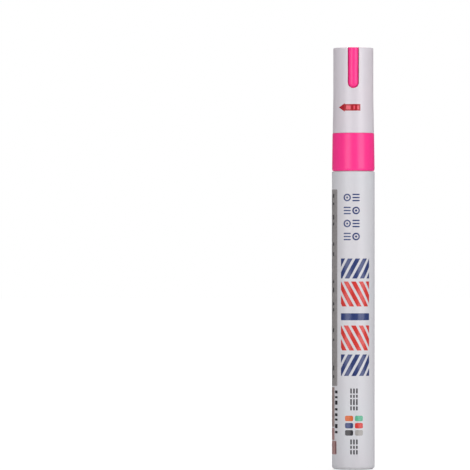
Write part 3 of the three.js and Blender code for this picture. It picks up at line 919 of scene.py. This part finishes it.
def clip(points, limit, keep_less):
    """The part of a convex outline to the left or the right of an upright line."""
    kept = []
    for a, b in zip(points, points[1:] + points[:1]):
        if (a[0] <= limit) == keep_less:
            kept.append(a)
        if (a[0] <= limit) != (b[0] <= limit):
            share = (limit - a[0]) / (b[0] - a[0])
            kept.append((limit, a[1] + share * (b[1] - a[1])))
    return kept


def area_of(outline):
    return abs(sum(a[0] * b[1] - b[0] * a[1] for a, b in zip(outline, outline[1:] + outline[:1]))) / 2


def slanted_bars(s0, s1, z0, z1, width, gap, rise):
    """Parallel slanted bars, cut off square at the edges of a rectangle."""
    least_area = 0.4
    bars = []
    s = s0 - abs(rise)
    while s < s1 + abs(rise):
        outline = [(s, z0), (s + width, z0), (s + width + rise, z1), (s + rise, z1)]
        outline = clip(clip(outline, s1, keep_less=True), s0, keep_less=False)
        if len(outline) > 2 and area_of(outline) > least_area:
            bars.append(outline)
        s += width + gap
    return bars


def dash_column(s, rows, kind, start=0):
    """Upright dashes of a kind below each other, its lengths and gaps begun at entry start."""
    half_width, lengths, gaps = kind
    corner, corner_steps = 0.2, 3
    outlines = []
    z, end = (height_of(row, s) for row in rows)
    k = start
    while z - lengths[k % len(lengths)] > end:
        low = z - lengths[k % len(lengths)]
        outlines.append(rounded_rect(s - half_width, s + half_width, low, z, corner, corner_steps))
        z = low - gaps[k % len(gaps)]
        k += 1
    return outlines


def print_blocks():
    """Blocks of slanted bars, and a plain bar where a block is low."""
    bar_width, bar_gap, slant, low_block, corner = 1.55, 0.95, 0.55, 3.0, 0.25
    left, right = (arc_of(column) for column in BLOCK_COLUMNS)
    for number, (colour, top, bottom) in enumerate(BLOCK_ROWS, 1):
        z0, z1 = height_of(bottom), height_of(top)
        if z1 - z0 < low_block:
            outlines = [rounded_rect(left, right, z0, z1, corner)]
        else:
            rise = (z1 - z0) * slant * (1 if colour == "blue" else -1)
            outlines = slanted_bars(left, right, z0, z1, bar_width, bar_gap, rise)
        printed(f"print_block_{number}", outlines, colour)


def print_tiles():
    """Two columns in which ringed dots and sets of three bars take turns."""
    ring_outer, ring_inner, dot = 1.25, 0.78, 0.36
    half_bar, half_line, line_pitch, corner = 1.2, 0.22, 1.0, 0.2
    left, right = (arc_of(column) for column in TILE_COLUMNS)
    cell = (right - left) / 2
    outlines = []
    for row, y in enumerate(TILE_ROWS):
        z = height_of(y)
        for column in range(2):
            s = left + cell * (column + 0.5)
            if (row + column) % 2 == 0:
                outlines += ring_band(s, z, ring_outer, ring_inner)
                outlines.append(disc(s, z, dot))
            else:
                outlines += [centred_rect(s, z + k * line_pitch, half_bar, half_line, corner)
                             for k in (-1, 0, 1)]
    printed("print_tiles", outlines, "blue")


def print_dashes():
    """Groups of three columns of dashes with the same breaks. Lengths and gap are in rows."""
    lengths, gap, shortest = (5, 3, 6, 4, 3, 5), 1.3, 2
    places, share, corner = (0.0, 0.4, 0.8), 0.2, 0.1
    left, right = (arc_of(column) for column in DASH_COLUMNS)
    width = right - left
    dashes = []
    for top, bottom in DASH_ROWS:
        y = top
        k = 0
        while y + shortest < bottom:
            y_end = min(bottom, y + lengths[k % len(lengths)])
            for place in places:
                s = left + width * place
                dashes.append(rounded_rect(s, s + width * share, height_of(y_end), height_of(y), corner))
            y = y_end + gap
            k += 1
    printed("print_dashes", dashes, "dark")


def print_chips():
    """Six rounded chips, two in a row."""
    chips = (("orange", "orange", "chip_ink"), ("green", "green", "chip_ink"),
             ("blue", "blue", "blue_ink"), ("red", "red", "red_ink"),
             ("black", "dark", "dark_ink"), ("grey", "grey", "panel_ink"))
    pitch_across, pitch_down, half_width, half_height, corner = 3.3, 2.35, 1.35, 0.9, 0.5
    for number, (name, colour, slot) in enumerate(chips):
        s = arc_of(CHIP_COLUMN) + number % 2 * pitch_across
        z = height_of(CHIP_ROW) - number // 2 * pitch_down
        outline = centred_rect(s, z, half_width, half_height, corner)
        printed(f"print_chip_{name}", [outline], colour)


def print_panels():
    """Panels that wrap round the left side to the back."""
    for name, column, top, bottom, colour, corner in PANELS:
        front = arc_of(column)
        z0, z1 = height_of(bottom, front), height_of(top, front)
        outline = rounded_rect(-BARREL_RADIUS * PANEL_WRAP, front, z0, z1, corner)
        printed(f"print_{name}", [outline], colour)


def print_panel_lines():
    """Columns of dashes on the panels, from near the front edges to the back."""
    first, pitch, columns = -8.1, 1.9, 5
    side_first, side_pitch, side_columns = -10.6, 2.2, 4
    lines = dash_column(first, PANEL_DASH_ROWS, BROKEN)
    for k in range(1, columns + 1):
        lines += dash_column(first - k * pitch, PANEL_DASH_ROWS, LONG, start=k)
    for k in range(side_columns):
        for rows in SIDE_PANEL_DASH_ROWS:
            lines += dash_column(side_first - k * side_pitch, rows, SHORT, start=k + 2)
    printed("print_panel_lines", lines, "dark", over_print(barrel_radius))


def print_side_dashes():
    """A column of dashes in front of the upper side panels."""
    middle = sum(arc_of(column) for column in SIDE_DASH_COLUMNS) / 2
    printed("print_side_dashes", dash_column(middle, SIDE_DASH_ROWS, WIDE), "dark")


def print_block_edge():
    """A dark edge at the front of the lowest panel."""
    width, inset = 0.62, 0.1
    front = arc_of(EDGE_COLUMN)
    z0, z1 = (height_of(row, front) for row in EDGE_ROWS)
    edge = rounded_rect(front - width, front - inset, z0 + inset, z1 - inset, inset)
    printed("print_block_edge", [edge], "block_edge", over_print(barrel_radius))


def print_arrow():
    """An arrow on the cap that points left, with plain paler bars on it."""
    half_shaft, half_barb, barb_lean, half_bar, corner = 1.08, 1.37, 0.1, 0.62, 0.15
    z = height_of(ARROW_ROW)
    radius = shell_radius(z)
    tip, neck, tail = (arc_of(column, radius) for column in (ARROW_TIP, ARROW_NECK, ARROW_TAIL))
    arrow = [(tip, z), (neck + barb_lean, z - half_barb), (neck, z - half_shaft), (tail, z - half_shaft),
             (tail, z + half_shaft), (neck, z + half_shaft), (neck + barb_lean, z + half_barb)]
    bars = [rounded_rect(arc_of(left, radius), arc_of(right, radius), z - half_bar, z + half_bar, corner)
            for left, right in ARROW_BARS]
    printed("print_arrow", [arrow], "arrow", shell_radius, body="cap")
    printed("print_arrow_marks", bars, "arrow_mark", over_print(shell_radius), body="cap")


# Floor, lights and camera

# Name, azimuth, elevation, distance, width, height and radiance of each lamp
LAMPS = (("left_box", -29, 0, 0.9, 0.46, 0.36, 3.3), ("right_box", 43.5, 0, 0.9, 0.54, 0.36, 3.8),
         ("left_key", -29, 42, 1.1, 0.4, 0.4, 3.4), ("right_key", 43, 42, 1.1, 0.4, 0.4, 5.1),
         ("back_key", 180, 58, 1.2, 0.7, 0.5, 7.4))


def floor():
    """A pale round floor that is white to the camera and in reflections, and keeps the shadow."""
    floor_radius, sides, below = 4.0, 96, 0.02 * MM
    pale, paler, seen_colour = 0.90, 0.92, (0.5, 0.5, 0.5, 1)
    glow_reach, near_glow, far_glow = 1.6, 0.555, 0.84
    bm = bmesh.new()
    bmesh.ops.create_circle(bm, cap_ends=True, segments=sides, radius=floor_radius)
    material = new_material("floor")
    piece = to_object("floor", bm, material)
    piece.location.z = -below
    piece.visible_glossy = False
    nodes = Nodes(material.node_tree)
    nodes.tree.nodes.clear()

    noise = nodes.add("TexNoise", {"Scale": 30}).outputs["Fac"]
    lit = nodes.add("BsdfDiffuse", {"Color": nodes.remap(noise, 0.0, 1.0, pale, paler)})

    # The lamps light the floor less further out, and the glow makes up for it
    place = nodes.add("TexCoord").outputs["Object"]
    distance = nodes.add("VectorMath", {0: place}, operation="LENGTH").outputs["Value"]
    strength = nodes.remap(distance, 0.0, glow_reach, near_glow, far_glow,
                           interpolation_type="SMOOTHSTEP")
    glow = nodes.add("Emission", {"Strength": strength})
    dim = nodes.add("BsdfDiffuse", {"Color": seen_colour})
    seen = nodes.add("AddShader", {0: dim.outputs[0], 1: glow.outputs[0]})

    shaders = {"Fac": nodes.any_ray("Camera", "Glossy"), 1: lit.outputs[0], 2: seen.outputs[0]}
    choose = nodes.add("MixShader", shaders)
    nodes.add("OutputMaterial", {"Surface": choose.outputs[0]})


def world(ambient):
    """White to the camera and in reflections, and a plain soft level for everything else."""
    made = bpy.data.worlds.new("studio")
    made.use_nodes = True
    nodes = Nodes(made.node_tree)
    background = nodes.tree.nodes["Background"]
    seen = nodes.any_ray("Camera", "Glossy", "Transmission")
    nodes.feed(background.inputs["Color"], (1, 1, 1, 1))
    nodes.feed(background.inputs["Strength"], nodes.remap(seen, 0.0, 1.0, ambient, 1.0))
    bpy.context.scene.world = made


def soft_light(name, azimuth, elevation, distance, width, height, radiance):
    """A soft box. Azimuth is from the front towards +X; radiance is what its face shows."""
    aim_height = 0.07
    a, e = radians(azimuth), radians(elevation)
    data = bpy.data.lights.new(name, "AREA")
    data.shape = "RECTANGLE"
    data.size, data.size_y = width, height
    data.energy = radiance * pi * width * height
    lamp = into_scene(name, data)
    offset = Vector((sin(a) * cos(e), -cos(a) * cos(e), sin(e)))
    lamp.location = Vector((0, 0, aim_height)) + offset * distance
    lamp.rotation_mode = "QUATERNION"
    lamp.rotation_quaternion = (-offset).to_track_quat("-Z", "Y")
    lamp.visible_camera = False


def flag(name, azimuth, spread, distance=0.8, height=1.2):
    """A dark card that only reflections show, which gives the pale pen clear edges. It is bent
    round the pen over spread degrees."""
    columns = 12
    bm = bmesh.new()
    uprights = []
    for k in range(columns + 1):
        angle = radians(azimuth - spread / 2 + spread * k / columns)
        x, y = distance * sin(angle), -distance * cos(angle)
        uprights.append([bm.verts.new((x, y, z)) for z in (-height / 2, height / 2)])
    add_faces(bm, strips(uprights))
    material = new_material(name)
    shader = material.node_tree.nodes["Principled BSDF"]
    shader.inputs["Base Color"].default_value = (0.12, 0.12, 0.12, 1)
    shader.inputs["Roughness"].default_value = 0.9
    card = to_object(name, bm, material)
    for rays in ("camera", "diffuse", "shadow", "transmission"):
        setattr(card, f"visible_{rays}", False)


def set_camera():
    """The photograph's camera. It is turned, not shifted, to put the axis in its column."""
    turn = asin((AXIS_X - MIDDLE) * PIXEL / CAMERA_DISTANCE)
    data = bpy.data.cameras.new("camera")
    data.sensor_width = SENSOR
    data.lens = SENSOR * CAMERA_DISTANCE * cos(turn) / (FRAME_PIXELS * PIXEL)
    data.clip_start, data.clip_end = 0.05, 20.0
    camera = into_scene("camera", data)
    camera.location = (0, -CAMERA_DISTANCE * MM, CAMERA_HEIGHT * MM)
    camera.rotation_euler = (pi / 2, 0, turn)
    bpy.context.scene.camera = camera


# The pen

for node, material in (("barrel_gasket", black), ("valve_seat", black), ("valve_cage", natural),
                       ("valve_stem", grey), ("overflow_felt", felt)):
    for slot in frame["nodes"][node].material_slots:
        slot.material = material

barrel_tube()
front_section()
nib_holder()
nib_point()
cap_liner()
cap_core()
cap_shell()
return_spring()
for number in (1, 2):
    steel_ball(number)

print_blocks()
print_tiles()
print_dashes()
print_chips()
print_panels()
print_panel_lines()
print_side_dashes()
print_block_edge()
print_arrow()

# The studio

floor()
world(ambient=0.345)
for lamp in LAMPS:
    soft_light(*lamp)
flag("left_flag", azimuth=-105, spread=114)
flag("right_flag", azimuth=115, spread=106)
flag("front_flag", azimuth=6, spread=38, distance=1.7, height=2.0)
set_camera()
bpy.context.scene.view_settings.view_transform = "Standard"
